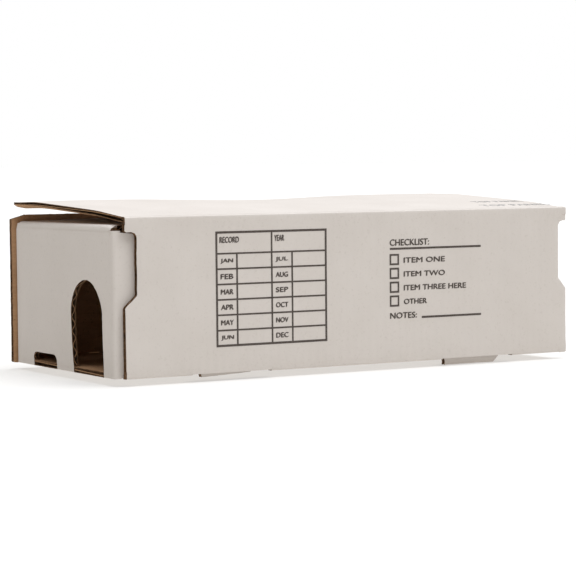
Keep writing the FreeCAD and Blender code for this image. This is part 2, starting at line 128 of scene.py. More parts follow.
class Builder:
    """Collects the vertices, faces, finishes and flute coordinates of one mesh."""

    def __init__(self):
        self.points = []
        self.flutes = []
        self.faces = []
        self.finish = []

    def point(self, place, flute=(0.0, 0.0)):
        self.points.append(place)
        self.flutes.append(flute)
        return len(self.points) - 1

    def face(self, corners, finish):
        self.faces.append(corners)
        self.finish.append(finish)

    def make(self, name, materials, sharp=40.0):
        mesh = bpy.data.meshes.new(name)
        mesh.from_pydata(self.points, [], self.faces)
        shell = bmesh.new()
        shell.from_mesh(mesh)
        bmesh.ops.recalc_face_normals(shell, faces=shell.faces)
        shell.to_mesh(mesh)
        shell.free()
        for material in materials:
            mesh.materials.append(material)
        mesh.polygons.foreach_set("material_index", self.finish)
        layer = mesh.uv_layers.new(name="flutes")
        for loop in mesh.loops:
            layer.data[loop.index].uv = self.flutes[loop.vertex_index]
        mesh.validate()
        mesh.polygons.foreach_set("use_smooth", [True] * len(mesh.polygons))
        mesh.set_sharp_from_angle(angle=math.radians(sharp))
        return in_scene(name, mesh)


def cad_outline(node, panel):
    """The outline of a CAD panel's outer face, as (u, v) corners in order, which always
    starts at the same corner."""
    outline_mesh = bmesh.new()
    outline_mesh.from_mesh(frame["nodes"][node].data)
    bmesh.ops.remove_doubles(outline_mesh, verts=outline_mesh.verts, dist=1e-6)
    to_panel = panel.matrix.inverted()
    local = {v: to_panel @ (v.co / MM) for v in outline_mesh.verts}
    on_face = {f for f in outline_mesh.faces if all(abs(local[v].z) < 0.02 for v in f.verts)}
    following = {}
    for f in on_face:
        for loop in f.loops:
            if not any(g in on_face for g in loop.edge.link_faces if g is not f):
                following[loop.vert] = loop.link_loop_next.vert
    start = min(following, key=lambda v: local[v].x + 0.31 * local[v].y)
    outline = [start]
    while following[outline[-1]] is not start:
        outline.append(following[outline[-1]])
    corners = [(local[v].x, local[v].y) for v in outline]
    outline_mesh.free()
    return without_straight_points(corners)


def without_straight_points(corners):
    """Drops the corners that lie on a straight edge, and turns the outline anticlockwise."""
    kept = []
    for i, here in enumerate(corners):
        before = Vector(corners[i - 1])
        after = Vector(corners[(i + 1) % len(corners)])
        here = Vector(here)
        if (here - before).length < 1e-4:
            continue
        cross = (here - before).normalized().cross((after - here).normalized())
        if abs(cross) > 1e-3:
            kept.append((here.x, here.y))
    area = sum(a[0] * b[1] - b[0] * a[1] for a, b in zip(kept, kept[1:] + kept[:1]))
    return kept if area > 0 else kept[::-1]


def on_fold(u, v, folds):
    return any(abs((u, v)[axis] - level) < 0.02 for axis, level in folds)


def walk(corners, folds, rng):
    """Points along the outline, a step apart, with the slight wobble of a cut edge."""
    points = []
    count = len(corners)
    for i, start in enumerate(corners):
        end = corners[(i + 1) % count]
        before = corners[i - 1]
        edge = Vector(end) - Vector(start)
        came = Vector(start) - Vector(before)
        steps = max(1, round(edge.length / EDGE_STEP))
        across = Vector((-edge.y, edge.x)).normalized()
        corner_side = (across + Vector((-came.y, came.x)).normalized()).normalized()
        along_fold = on_fold(*start, folds) and on_fold(*end, folds)
        for k in range(steps):
            here = Vector(start) + edge * (k / steps)
            inward = corner_side if k == 0 else across
            fixed = along_fold or on_fold(here.x, here.y, folds)
            wobble = 0.0 if fixed else rng.uniform(0.0, 0.16)
            points.append((here + inward * wobble, inward, fixed))
    return points


def inside(corners, u, v):
    result = False
    for (ua, va), (ub, vb) in zip(corners, corners[1:] + corners[:1]):
        if (va > v) != (vb > v) and u < (ub - ua) * (v - va) / (vb - va) + ua:
            result = not result
    return result


def edge_distance(corners, u, v):
    """Distance from a point to the outline."""
    here = Vector((u, v))
    nearest = 1e9
    for a, b in zip(corners, corners[1:] + corners[:1]):
        a, b = Vector(a), Vector(b)
        way = b - a
        t = max(0.0, min(1.0, (here - a).dot(way) / way.length_squared))
        nearest = min(nearest, (a + way * t - here).length)
    return nearest


def net(corners, edge_points):
    """Triangles over the panel: (points, triangles, order of the outline)."""
    outline = [p for p, _, _ in edge_points]
    flat = [(p.x, p.y) for p in outline]
    extra = []
    for depth, every in zip(EDGE_RINGS, (1, 2)):
        for p, inward, _ in edge_points[::every]:
            ring = p + inward * depth
            clear = edge_distance(corners, ring.x, ring.y) > 0.85 * depth
            if clear and inside(flat, ring.x, ring.y):
                extra.append(ring)
    us = [c[0] for c in corners]
    vs = [c[1] for c in corners]
    columns = max(2, round((max(us) - min(us)) / GRID))
    rows = max(2, round((max(vs) - min(vs)) / GRID))
    for i in range(1, columns):
        for j in range(1, rows):
            u = min(us) + (max(us) - min(us)) * i / columns
            v = min(vs) + (max(vs) - min(vs)) * j / rows
            if inside(flat, u, v) and edge_distance(corners, u, v) > EDGE_RINGS[-1] + 1.0:
                extra.append(Vector((u, v)))
    count = len(outline)
    sides = [(i, (i + 1) % count) for i in range(count)]
    made = geometry.delaunay_2d_cdt(outline + extra, sides, [list(range(count))], 1, 1e-5)
    points, _, triangles, origin = made[:4]
    place = {}
    for new, old in enumerate(origin):
        for index in old:
            place[index] = new
    return points, triangles, [place[i] for i in range(count)]


def presser(corners, folds, crush):
    """A function for how far the liners are pressed in at (u, v), fading in from a cut."""
    cuts = []
    for a, b in zip(corners, corners[1:] + corners[:1]):
        if not (on_fold(*a, folds) and on_fold(*b, folds)):
            cuts.append((a, b))

    def press(u, v):
        nearest = CRUSH_RUN
        for (ua, va), (ub, vb) in cuts:
            du, dv = ub - ua, vb - va
            t = max(0.0, min(1.0, ((u - ua) * du + (v - va) * dv) / (du * du + dv * dv)))
            nearest = min(nearest, math.hypot(ua + t * du - u, va + t * dv - v))
        return crush(u, v) * (1.0 - nearest / CRUSH_RUN) ** 2

    return press


def even_crush(u, v):
    return EDGE_CRUSH


def add_liner(mesh, panel, grid, edge_points, flute_axis, outer, press):
    """One liner as a closed sheet. Only the outermost face is white."""
    points, triangles, rim = grid
    fixed = {rim[i] for i, (_, _, on_crease) in enumerate(edge_points) if on_crease}
    faces_out, faces_in = [], []
    for p in points:
        crush = press(p[0], p[1])
        if outer:
            top, bottom = SURFACE_DEPTH + crush, SURFACE_DEPTH + crush + LINER
        else:
            top, bottom = BOARD - LINER - crush, BOARD - crush
        flute = (p[flute_axis] / FLUTE_PITCH, p[1 - flute_axis] / FLUTE_PITCH)
        faces_out.append(mesh.point(panel.place(p[0], p[1], top), flute))
        faces_in.append(mesh.point(panel.place(p[0], p[1], bottom), flute))
    for a, b, c in triangles:
        mesh.face((faces_out[a], faces_out[b], faces_out[c]), WHITE if outer else SHADED_FLUTE)
        mesh.face((faces_in[c], faces_in[b], faces_in[a]), SHADED_FLUTE if outer else KRAFT)
    for a, b in zip(rim, rim[1:] + rim[:1]):
        creased = a in fixed and b in fixed
        # Uncreased cut edges of the liners take the fluting finish, which is painted shade rather
        # than the paper's own colour.
        finish = WHITE if creased and outer else SHADED_FLUTE
        mesh.face((faces_out[b], faces_out[a], faces_in[a], faces_in[b]), finish)


def spans(outline, flute_axis, s):
    """Where the line across the flutes at s runs inside the outline."""
    cuts = []
    for a, b in zip(outline, outline[1:] + outline[:1]):
        sa, sb = a[flute_axis], b[flute_axis]
        if (sa > s) != (sb > s):
            t = (s - sa) / (sb - sa)
            cuts.append(a[1 - flute_axis] + t * (b[1 - flute_axis] - a[1 - flute_axis]))
    cuts.sort()
    pairs = zip(cuts[::2], cuts[1::2])
    return [(low, high) for low, high in pairs if high - low > 1.0]


def span_stations(low, high, flute_axis, folds, rng):
    """Places along one flute line, closer together where a cut end is pressed flat."""
    rags = []
    for station in (low, high):
        fold = any(axis != flute_axis and abs(station - level) < 0.4 for axis, level in folds)
        rags.append(0.0 if fold else rng.random())
    low += 0.05 + 0.3 * rags[0]
    high -= 0.05 + 0.3 * rags[1]
    runs = [min(run, (high - low) * share) for run, share in zip(EDGE_RINGS, (0.2, 0.4))]
    steps = max(1, round((high - low - 2 * runs[1]) / 9.0))
    middle = [low + runs[1] + (high - low - 2 * runs[1]) * k / steps for k in range(steps + 1)]
    return [low, low + runs[0]] + middle + [high - runs[0], high]


def add_medium(mesh, panel, outline, flute_axis, folds, press, rng):
    """The fluted medium, as closed wavy strips cut off at the outline."""
    ss = [p[flute_axis] for p in outline]
    low_s, high_s = min(ss) + 0.25, max(ss) - 0.25
    slices = max(2, round((high_s - low_s) / FLUTE_PITCH * FLUTE_STEPS))
    height = (BOARD - SURFACE_DEPTH - 2 * LINER - MEDIUM) / 2
    middle = (BOARD + SURFACE_DEPTH) / 2
    phase = rng.uniform(0, 2 * math.pi)
    skew = rng.choice((-1, 1)) * rng.uniform(0.5, 1.0) * FLUTE_SKEW

    def section(s, stations):
        rows = []
        for t in stations:
            u, v = (s, t) if flute_axis == 0 else (t, s)
            angle = 2 * math.pi * (s + skew * t) / FLUTE_PITCH + phase
            slope = 2 * math.pi / FLUTE_PITCH * height * math.cos(angle)
            half = MEDIUM / 2 * math.sqrt(1 + slope * slope)
            left = max(0.05, 1.0 - press(u, v) / (height + MEDIUM / 2))
            wave = middle + height * math.sin(angle) * left
            flute = (s / FLUTE_PITCH, t / FLUTE_PITCH)
            faces = (wave - half * left, wave + half * left)
            rows.append([(panel.place(u, v, w), flute) for w in faces])
        return rows

    def laid(rows):
        return [[mesh.point(*corner) for corner in pair] for pair in rows]

    def close(rows):
        for (a, b), (c, d) in zip(rows, rows[1:]):
            mesh.face((a, b, d, c), KRAFT)

    previous = []
    step = (high_s - low_s) / slices
    for i in range(slices + 1):
        s = low_s + step * i
        found = spans(outline, flute_axis, s)
        halfway = spans(outline, flute_axis, s - step / 2)
        matched = len(previous) == len(found) == len(halfway)
        current = []
        for k, span in enumerate(found):
            stations = span_stations(*span, flute_axis, folds, rng)
            joined = matched and runs_on(previous[k]["span"], halfway[k], span)
            old = previous[k] if joined else None
            if old and len(stations) != len(old["stations"]):
                stations = respaced(old["stations"], stations[0], stations[-1])
            rows = section(s, stations)
            if old:
                if not old["begun"]:
                    old["rows"] = laid(old["rows"])
                    close(old["rows"])
                before, rows = old["rows"], laid(rows)
                for (a, b), (c, d), (e, f), (g, h) in zip(before, before[1:], rows, rows[1:]):
                    # Both faces of the medium take the fluting finish, painted dark for the shade
                    # inside the flute tunnels.
                    mesh.face((a, c, g, e), SHADED_FLUTE)
                    mesh.face((b, f, h, d), SHADED_FLUTE)
                for one, two in ((before[0], rows[0]), (before[-1], rows[-1])):
                    mesh.face((one[0], two[0], two[1], one[1]), KRAFT)
                old["goes_on"] = True
            strip = {"span": span, "stations": stations, "rows": rows}
            current.append(strip | {"begun": bool(old), "goes_on": False})
        for old in previous:
            if old["begun"] and not old["goes_on"]:
                close(old["rows"])
        previous = current
    for old in previous:
        if old["begun"]:
            close(old["rows"])


def runs_on(before, between, after):
    """Whether both cut edges run on from slice to slice, rather than stepping."""
    return all(
        abs(m - (a + b) / 2) < 0.5 + 0.3 * abs(b - a) for a, m, b in zip(before, between, after)
    )


def respaced(stations, low, high):
    """The same stations, stretched to run from low to high."""
    share = (high - low) / (stations[-1] - stations[0])
    return [low + (t - stations[0]) * share for t in stations]


def board(name, panel, corners, flute_axis, folds=(), crush=even_crush):
    """One panel of corrugated board, cut to the outline."""
    rng = random.Random(name)
    mesh = Builder()
    edge_points = walk(corners, folds, rng)
    grid = net(corners, edge_points)
    outline = [tuple(p) for p, _, _ in edge_points]
    press = presser(corners, folds, crush)
    add_liner(mesh, panel, grid, edge_points, flute_axis, True, press)
    add_liner(mesh, panel, grid, edge_points, flute_axis, False, press)
    add_medium(mesh, panel, outline, flute_axis, folds, press, rng)
    return mesh


# ---- folds


def add_fold(mesh, corner, end, into_a, into_b, crisp, thick=None, shape=None):
    """The round of a fold along corner..end. into_a and into_b run from the corner along
    the outer faces of its two panels. A fold with a thickness is a crushed strip; any
    other fills the corner between the panels. Its skin is tucked under both liners."""
    corner, end = Vector(corner), Vector(end)
    into_a, into_b = Vector(into_a), Vector(into_b)
    stations = max(1, round((end - corner).length / (GRID / 2)))
    outer, inner = [], []
    tuck = FOLD_RUN + FOLD_TUCK
    outer.append(into_a * tuck + into_b * (SURFACE_DEPTH + SKIN_SINK))
    for k in range(FOLD_STEPS + 1):
        t = k / FOLD_STEPS
        weights = ((1 - t) ** 2, 2 * t * (1 - t) * crisp, t * t)
        offset = (into_a * weights[0] + into_b * weights[2]) * (FOLD_RUN / sum(weights))
        inward = (into_b * (1 - t) + into_a * t).normalized()
        outer.append(offset + inward * (SURFACE_DEPTH + SKIN_SINK * (abs(t - 0.5) == 0.5)))
        if thick:
            inner.append(offset + inward * thick)
    outer.append(into_b * tuck + into_a * (SURFACE_DEPTH + SKIN_SINK))
    if not thick:
        inner = [(into_a + into_b) * BOARD]
    rows = []
    for i in range(stations + 1):
        base = corner.lerp(end, i / stations)
        row = []
        for offset in outer + inner[::-1]:
            place = base + offset
            if shape is not None:
                place = shape(place)
            flute = (i * GRID / FLUTE_PITCH, offset.length / FLUTE_PITCH)
            row.append(mesh.point(place * MM, flute))
        rows.append(row)
    ring = len(rows[0])
    for one, two in zip(rows, rows[1:]):
        for k in range(ring):
            n = (k + 1) % ring
            finish = WHITE if k < len(outer) - 1 else KRAFT
            mesh.face((one[k], one[n], two[n], two[k]), finish)
    # The fold's end caps take the fluting finish, painted dark for the shade in the crushed ends.
    mesh.face(tuple(rows[0]), SHADED_FLUTE)
    mesh.face(tuple(rows[-1]), SHADED_FLUTE)


# ---- materials


def new_material(name):
    material = bpy.data.materials.new(name)
    material.use_nodes = True
    tree = material.node_tree
    return material, tree, tree.nodes["Principled BSDF"]


def add(tree, kind, **inputs):
    node = tree.nodes.new(kind)
    for name, value in inputs.items():
        if name in node.inputs:
            node.inputs[name].default_value = value
        else:
            setattr(node, name, value)
    return node


def stretched(tree, factors):
    """Object coordinates, stretched."""
    place = add(tree, "ShaderNodeTexCoord")
    mapping = add(tree, "ShaderNodeMapping", Scale=factors)
    tree.links.new(place.outputs["Object"], mapping.inputs["Vector"])
    return mapping.outputs["Vector"]


def noise_node(tree, scale, detail=4.0, roughness=0.55, stretch=(1, 1, 1)):
    node = add(tree, "ShaderNodeTexNoise", Scale=scale, Detail=detail, Roughness=roughness)
    tree.links.new(stretched(tree, stretch), node.inputs["Vector"])
    return node.outputs["Fac"]


def ramp(tree, value, stops):
    node = tree.nodes.new("ShaderNodeValToRGB")
    elements = node.color_ramp.elements
    while len(elements) < len(stops):
        elements.new(0.5)
    for element, (position, color) in zip(elements, stops):
        element.position = position
        element.color = (*color, 1.0)
    tree.links.new(value, node.inputs["Fac"])
    return node.outputs["Color"]


def mix(tree, factor, one, two, blend="MIX"):
    node = tree.nodes.new("ShaderNodeMix")
    node.data_type = "RGBA"
    node.blend_type = blend
    for socket, value in ((node.inputs[0], factor), (node.inputs[6], one), (node.inputs[7], two)):
        if isinstance(value, (int, float)):
            socket.default_value = value
        elif isinstance(value, tuple):
            socket.default_value = (*value, 1.0)
        else:
            tree.links.new(value, socket)
    return node.outputs[2]


def bump(tree, shader, layers):
    """Stacks (height, strength, distance in metres) into the shader's normal."""
    normal = None
    for height, strength, distance in layers:
        node = add(tree, "ShaderNodeBump", Strength=strength, Distance=distance)
        tree.links.new(height, node.inputs["Height"])
        if normal is not None:
            tree.links.new(normal, node.inputs["Normal"])
        normal = node.outputs["Normal"]
    tree.links.new(normal, shader.inputs["Normal"])


def flute_ripple(tree):
    """The faint washboard of the flutes under a liner, from the panel's flute coordinates."""
    place = add(tree, "ShaderNodeUVMap", uv_map="flutes")
    wave = add(tree, "ShaderNodeTexWave", Scale=0.5, Distortion=0.6, Detail=1.0)
    tree.links.new(place.outputs["UV"], wave.inputs["Vector"])
    return wave.outputs["Fac"]


def dress(tree, shader, color, bumps=(), **inputs):
    """Gives a shader its colour, bump layers, and other inputs by name or from a node."""
    tree.links.new(color, shader.inputs["Base Color"])
    for name, value in inputs.items():
        socket = shader.inputs[name.replace("_", " ")]
        if isinstance(value, bpy.types.NodeSocket):
            tree.links.new(value, socket)
        else:
            socket.default_value = value
    if bumps:
        bump(tree, shader, bumps)


def mottled(name, texture, tones, relief=None, **inputs):
    """A material whose colour and bumps follow one noise."""
    material, tree, shader = new_material(name)
    patches = noise_node(tree, *texture)
    bumps = ((patches, *relief),) if relief else ()
    dress(tree, shader, ramp(tree, patches, tones), bumps, **inputs)
    return material


def white_liner():
    material, tree, shader = new_material("white_liner")
    cloud = noise_node(tree, 38.0, 5.0)
    grain = noise_node(tree, 900.0, 3.0)
    fibre = noise_node(tree, 1500.0, 2.0, stretch=(0.25, 1, 1))
    tone = ramp(tree, cloud, ((0.3, (0.635, 0.580, 0.528)), (0.7, (0.668, 0.613, 0.562))))
    specks = ramp(tree, grain, ((0.28, (0.80, 0.78, 0.75)), (0.42, (1.0, 1.0, 1.0))))
    color = mix(tree, 0.35, tone, specks, "MULTIPLY")
    shine = ramp(tree, cloud, ((0.3, (0.62, 0.62, 0.62)), (0.7, (0.74, 0.74, 0.74))))
    ripple = flute_ripple(tree)
    relief = ((ripple, 0.25, 0.00012), (cloud, 0.5, 0.0005), (fibre, 0.25, 0.00006))
    dress(tree, shader, color, relief, Specular_IOR_Level=0.35, Roughness=shine)
    return material


def kraft_board():
    material, tree, shader = new_material("kraft_board")
    cloud = noise_node(tree, 55.0, 5.0)
    fibre = noise_node(tree, 900.0, 4.0, 0.7, stretch=(0.12, 1, 1))
    cross = noise_node(tree, 700.0, 3.0, 0.65, stretch=(1, 0.15, 1))
    tone = ramp(tree, cloud, ((0.3, (0.40, 0.235, 0.125)), (0.7, (0.49, 0.295, 0.165))))
    fibres = ramp(tree, fibre, ((0.3, (0.62, 0.56, 0.5)), (0.62, (1.15, 1.12, 1.08))))
    crosses = ramp(tree, cross, ((0.32, (0.8, 0.76, 0.72)), (0.6, (1.05, 1.04, 1.02))))
    color = mix(tree, 0.3, tone, fibres, "MULTIPLY")
    color = mix(tree, 0.22, color, crosses, "MULTIPLY")
    fleck = noise_node(tree, 1100.0, 2.0)
    flecks = ramp(tree, fleck, ((0.29, (0.5, 0.42, 0.36)), (0.36, (1.0, 1.0, 1.0))))
    color = mix(tree, 0.8, color, flecks, "MULTIPLY")
    dress(
        tree, shader, color, ((flute_ripple(tree), 0.3, 0.0002), (fibre, 0.35, 0.00012)),
        Roughness=0.86, Specular_IOR_Level=0.2,
    )
    return material


def fluting_painted_shade():
    """The medium, the liners' cut edges and the crushed ends of folds, in a rougher brown paper
    darkened towards black with painted shade, the shade that falls inside the flutes and cut
    edges.
    """
    tones = ((0.35, (0.05, 0.028, 0.015)), (0.65, (0.24, 0.138, 0.072)))
    relief = (0.8, 0.0004)
    inputs = {"Roughness": 0.95, "Specular_IOR_Level": 0.1}
    return mottled("fluting_painted_shade", (700.0, 5.0, 0.75), tones, relief, **inputs)


def ink(name, dark, light):
    return mottled(name, (1400.0, 3.0), ((0.35, dark), (0.7, light)), Roughness=0.7)


def pine():
    material, tree, shader = new_material("pine")
    rings = add(tree, "ShaderNodeTexWave", Scale=55.0, Distortion=5.0, Detail=3.0)
    rings.bands_direction = "Y"
    tree.links.new(stretched(tree, (0.12, 1, 1)), rings.inputs["Vector"])
    pores = noise_node(tree, 1600.0, 3.0, stretch=(0.03, 1, 1))
    tone = ramp(tree, rings.outputs["Fac"], ((0.1, (0.62, 0.42, 0.22)), (0.9, (0.78, 0.60, 0.37))))
    streaks = ramp(tree, pores, ((0.3, (0.72, 0.66, 0.58)), (0.55, (1.0, 1.0, 1.0))))
    color = mix(tree, 0.7, tone, streaks, "MULTIPLY")
    dress(tree, shader, color, ((pores, 0.5, 0.00015),), Roughness=0.72)
    return material


def metal(name, dark, light, roughness):
    material, tree, shader = new_material(name)
    patch = noise_node(tree, 320.0, 5.0)
    scratch = noise_node(tree, 2500.0, 2.0, stretch=(1, 0.05, 1))
    rough = ramp(tree, patch, ((0.3, (roughness + 0.12,) * 3), (0.7, (roughness,) * 3)))
    dress(
        tree, shader, ramp(tree, patch, ((0.3, dark), (0.7, light))), ((scratch, 0.2, 0.00004),),
        Metallic=1.0, Roughness=rough,
    )
    return material


def adhesive():
    material, tree, shader = new_material("adhesive")
    ripple = noise_node(tree, 160.0, 3.0)
    dust = noise_node(tree, 1200.0, 2.0)
    tone = ramp(tree, ripple, ((0.3, (0.70, 0.58, 0.30)), (0.7, (0.82, 0.72, 0.44))))
    shine = ramp(tree, dust, ((0.4, (0.12, 0.12, 0.12)), (0.75, (0.34, 0.34, 0.34))))
    dress(
        tree, shader, tone, ((ripple, 0.6, 0.0006),),
        Transmission_Weight=0.25, Coat_Weight=0.4, Roughness=shine,
    )
    return material


def coated_card():
    tones = ((0.3, (0.74, 0.71, 0.62)), (0.7, (0.82, 0.80, 0.72)))
    return mottled("coated_card", (120.0, 4.0), tones, (0.2, 0.0002), Roughness=0.55)


def lure_rubber():
    tones = ((0.35, (0.27, 0.05, 0.035)), (0.75, (0.42, 0.13, 0.09)))
    return mottled("lure_rubber", (600.0, 5.0), tones, (0.3, 0.0001), Roughness=0.6)


def bait_paste():
    tones = ((0.3, (0.22, 0.10, 0.035)), (0.7, (0.50, 0.29, 0.11)))
    return mottled("bait_paste", (700.0, 6.0, 0.7), tones, (0.9, 0.0005), Roughness=0.45)


# The last board finish carries painted shade for the flutes and cut edges.
BOARD_FINISH = [white_liner(), kraft_board(), fluting_painted_shade()]

# ---- the carton's places

near_low, near_high = box_mm("near_wall")
_, far_high = box_mm("far_wall")
floor_low, floor_high = box_mm("floor_panel")
end_low, end_high = box_mm("left_end_panel")
END_FACES = {-1: floor_low.x, 1: floor_high.x}  # outer faces of the end panels

LID_FOLD = Vector(joint("lid_fold")["pos_m"]) / MM
LID_REST = -joint("lid_fold")["range_deg"][0]
DUST_FOLD_Z = joint("left_dust_flap_fold")["pos_m"][2] / MM
DUST_REST = 1.7
TUCK_LEAN = 10.0
TUCK_DEPTH = 25.0
LID_SLEW = 5.6  # the lid's crooked crease carries its far edge this far to the left
BASE_Z = floor_low.z
NEAR_FOLD = (near_low.x, END_FACES[1] - 0.2)  # both ends of each long wall's bottom fold
FAR_FOLD = (END_FACES[-1] + 0.2, END_FACES[1] - 0.2)
NEAR_Y = near_low.y
FAR_Y = far_high.y
FLAP_Y = end_low.y  # outer face of a corner flap
TAB_CURL = 0.32
CORNER_RUN = 4.0  # length of floor cut away under each corner flap's fold
SLOT_RELIEF = 0.6  # a long wall's bottom edge stands this far above the floor's underside

LID_OPENING = turn_about(LID_FOLD, (1, 0, 0), LID_REST)
TUCK_FOLD = LID_OPENING.inverted() @ (Vector(joint("tuck_flap_fold")["pos_m"]) / MM)
LID_FAR_Y = TUCK_FOLD.y + BOARD
LID_DEPTH = LID_FAR_Y - LID_FOLD.y


def slow_noise(u, v, seed, size):
    """Smooth random value between about -1 and 1 that changes over size millimetres."""
    return noise.noise(Vector((u / size, v / size, seed)))


def smooth(t):
    t = max(0.0, min(1.0, t))
    return t * t * (3.0 - 2.0 * t)


def warped(seed, amount, low, high):
    """A panel that isn't quite flat. It dips inwards from its CAD face, away from its folds."""

    def shape(u, v, w):
        clear = smooth((v - low - FOLD_RUN) / 14.0) * smooth((high - FOLD_RUN - v) / 14.0)
        dip = amount * (0.5 + 0.5 * slow_noise(u, v, seed, 55.0))
        return u, v, w + dip * clear

    return shape


def lid_crush(x, y):
    """How far the lid's liners are pressed in at its cut edges, most at the far left tip."""
    handled = smooth((near_low.x + 25.0 - x) / 20.0) * smooth((y - LID_FOLD.y) / LID_DEPTH)
    tip = smooth((near_low.x + 8.0 - x) / 10.0) * smooth((y - LID_FAR_Y + 22.0) / 20.0)
    return EDGE_CRUSH + 0.1 + 0.38 * handled + 0.28 * tip


def lid_lift(x, y):
    """How far the lid stands above its flat plane."""
    q = max(0.0, min(1.0, (y - LID_FOLD.y) / LID_DEPTH))
    crown = 1.1 * smooth(q / 0.28) * (1.0 - smooth((q - 0.75) / 0.25))
    sag = -1.7 * math.exp(-((abs(x - 2.0) / 42.0) ** 2.5)) * q * q
    tip = -0.6 * math.exp(-(((x + 120.0) / 16.0) ** 2)) * q**6
    from_edge = max(0.0, min(1.0, (x - slewed(near_low.x, y)) / CRUSH_RUN))
    lip = lid_crush(x, y) * (1.0 - from_edge) ** 2
    return crown + sag + tip + lip - 0.12 * q


def lid_shape(u, v, w):
    return u, v, w - lid_lift(u, v)


def slewed(x, y):
    """Where a point of the near wall's top edge comes to, carried along the lid to y."""
    return x - LID_SLEW * (y - LID_FOLD.y) / LID_DEPTH


X, Y, Z = Vector((1, 0, 0)), Vector((0, 1, 0)), Vector((0, 0, 1))

WALL_TOP = LID_FOLD.z
NEAR_PANEL = Panel((0, NEAR_Y, 0), X, Z, Y, shape=warped(1.3, 0.35, BASE_Z, WALL_TOP))
FAR_PANEL = Panel((0, FAR_Y, 0), X, Z, -Y, shape=warped(2.7, 0.35, BASE_Z, WALL_TOP))
FLOOR_PANEL = Panel((0, 0, BASE_Z), X, Y, Z)
LID_PANEL = Panel((0, 0, LID_FOLD.z), X, Y, -Z, turn=LID_OPENING, shape=lid_shape)
END_BULGE = 1.25  # an end panel's middle stands this far out


def end_frame(end):
    """Panel frame of an end panel, on the left (-1) or right (1). It bulges outwards."""
    half = end_high.y

    def shape(u, v, w):
        rise = (v - BASE_Z) / (DUST_FOLD_Z - BASE_Z)
        up = math.sin(math.pi * max(0.0, min(1.0, rise)) ** 0.9)
        across = smooth((half - FOLD_RUN - abs(u)) / 13.0)
        return u, v, w - END_BULGE * up * across

    return Panel((END_FACES[end], 0, 0), Y, Z, -end * X, shape=shape)


def entry_levels():
    """The y places of the end panel's feet: sides of the entry and of the finger slot."""
    feet = set()
    for vertex in frame["nodes"]["left_end_panel"].data.vertices:
        if abs(vertex.co.z / MM - end_low.z) < 0.01:
            feet.add(round(vertex.co.y / MM, 2))
    return sorted(feet)


_, ENTRY_LOW, ENTRY_HIGH, SLOT_LOW, SLOT_HIGH, _ = entry_levels()


def lock_slots():
    """Both ends of each lock slot along the station, read from the floor panel."""
    places = set()
    for vertex in frame["nodes"]["floor_panel"].data.vertices:
        x, y = vertex.co.x / MM, vertex.co.y / MM
        if floor_low.x + 1 < x < floor_high.x - 1 and abs(y - floor_low.y) < 0.01:
            places.add(round(x, 2))
    places = sorted(places)
    return [(places[0], places[1]), (places[2], places[3])]


LOCK_SLOTS = lock_slots()


def between_slots(low, high):
    """The stretches of a long fold from low to high that no slot interrupts."""
    (a, b), (c, d) = LOCK_SLOTS
    return ((low, a), (b, c), (d, high))


# ---- carton pieces


def finish_board(mesh, name, node, body):
    piece = mesh.make(name, BOARD_FINISH)
    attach(piece, body)
    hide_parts(node)


def finish_fold(strip, name):
    """A fold strip, with its placement baked into its mesh."""
    piece = strip.make(name, BOARD_FINISH)
    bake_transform(piece)


def build_wall(name, node, panel, fold_low, fold_high):
    """A long wall, cut back to the start of its bottom fold where the floor joins it."""
    level = BASE_Z + FOLD_RUN
    outline = cad_outline(node, panel)

    def folded(corner):
        return corner[1] < level and fold_low - 0.01 <= corner[0] <= fold_high + 0.01

    first = next(i for i, c in enumerate(outline) if folded(outline[i - 1]) and not folded(c))
    kept = [c for c in outline[first:] + outline[:first] if not folded(c)]
    low_end = min(u for u, _ in outline)
    bottom = [(low_end, level)] if fold_low <= low_end else [(fold_low, BASE_Z), (fold_low, level)]
    for low, high in LOCK_SLOTS:
        raised = BASE_Z + SLOT_RELIEF
        bottom += [(low, level), (low, raised), (high, raised), (high, level)]
    bottom += [(fold_high, level), (fold_high, BASE_Z)]
    corners = without_straight_points(bottom + kept)
    joined = [(1, level), (1, near_high.z), (0, fold_low), (0, fold_high)]
    joined += [(0, x) for slot in LOCK_SLOTS for x in slot]

    def crush(u, v):
        return EDGE_CRUSH * smooth((v - level) / CRUSH_RUN) + 0.05

    mesh = board(name, panel, corners, 0, joined, crush)
    finish_board(mesh, name, node, "carton")


def build_floor():
    """Floor, cut back to its end folds except where an entry or a finger slot shows its edge."""
    side = floor_high.y
    slot_side = side - BOARD - 0.5
    low, high = END_FACES[-1], END_FACES[1]
    fold_low, fold_high = low + FOLD_RUN, high - FOLD_RUN
    corner_side = side - BOARD - 0.4
    notch = fold_high - CORNER_RUN
    right = [(notch, -side), (notch, -corner_side), (fold_high, -corner_side)]
    for start, end in ((ENTRY_LOW, ENTRY_HIGH), (SLOT_LOW, SLOT_HIGH)):
        right += [(fold_high, start), (high, start), (high, end), (fold_high, end)]
    right += [(fold_high, corner_side), (notch, corner_side), (notch, side)]
    left = [(low + high - x, y) for x, y in reversed(right)]
    (a, b), (c, d) = LOCK_SLOTS
    far = [(d, side), (d, slot_side), (c, slot_side), (c, side)]
    far += [(b, side), (b, slot_side), (a, slot_side), (a, side)]
    near = [(x, -y) for x, y in reversed(far)]
    folds = ((0, fold_low), (0, fold_high), (1, side), (1, -side))
    mesh = board("floor_board", FLOOR_PANEL, right + far + left + near, 0, folds)
    finish_board(mesh, "floor_board", "floor_panel", "carton")


def build_end_panel(end, side_name):
    node = f"{side_name}_end_panel"
    panel = end_frame(end)
    fold_side = end_high.y - FOLD_RUN
    corners = []
    for u, v in cad_outline(node, panel):
        corners.append((max(-fold_side, min(fold_side, u)), v))
    corners = without_straight_points(corners)
    folds = ((0, fold_side), (0, -fold_side), (1, end_low.z), (1, end_high.z))
    mesh = board(f"{side_name}_end_board", panel, corners, 1, folds)
    finish_board(mesh, f"{side_name}_end_board", node, "carton")


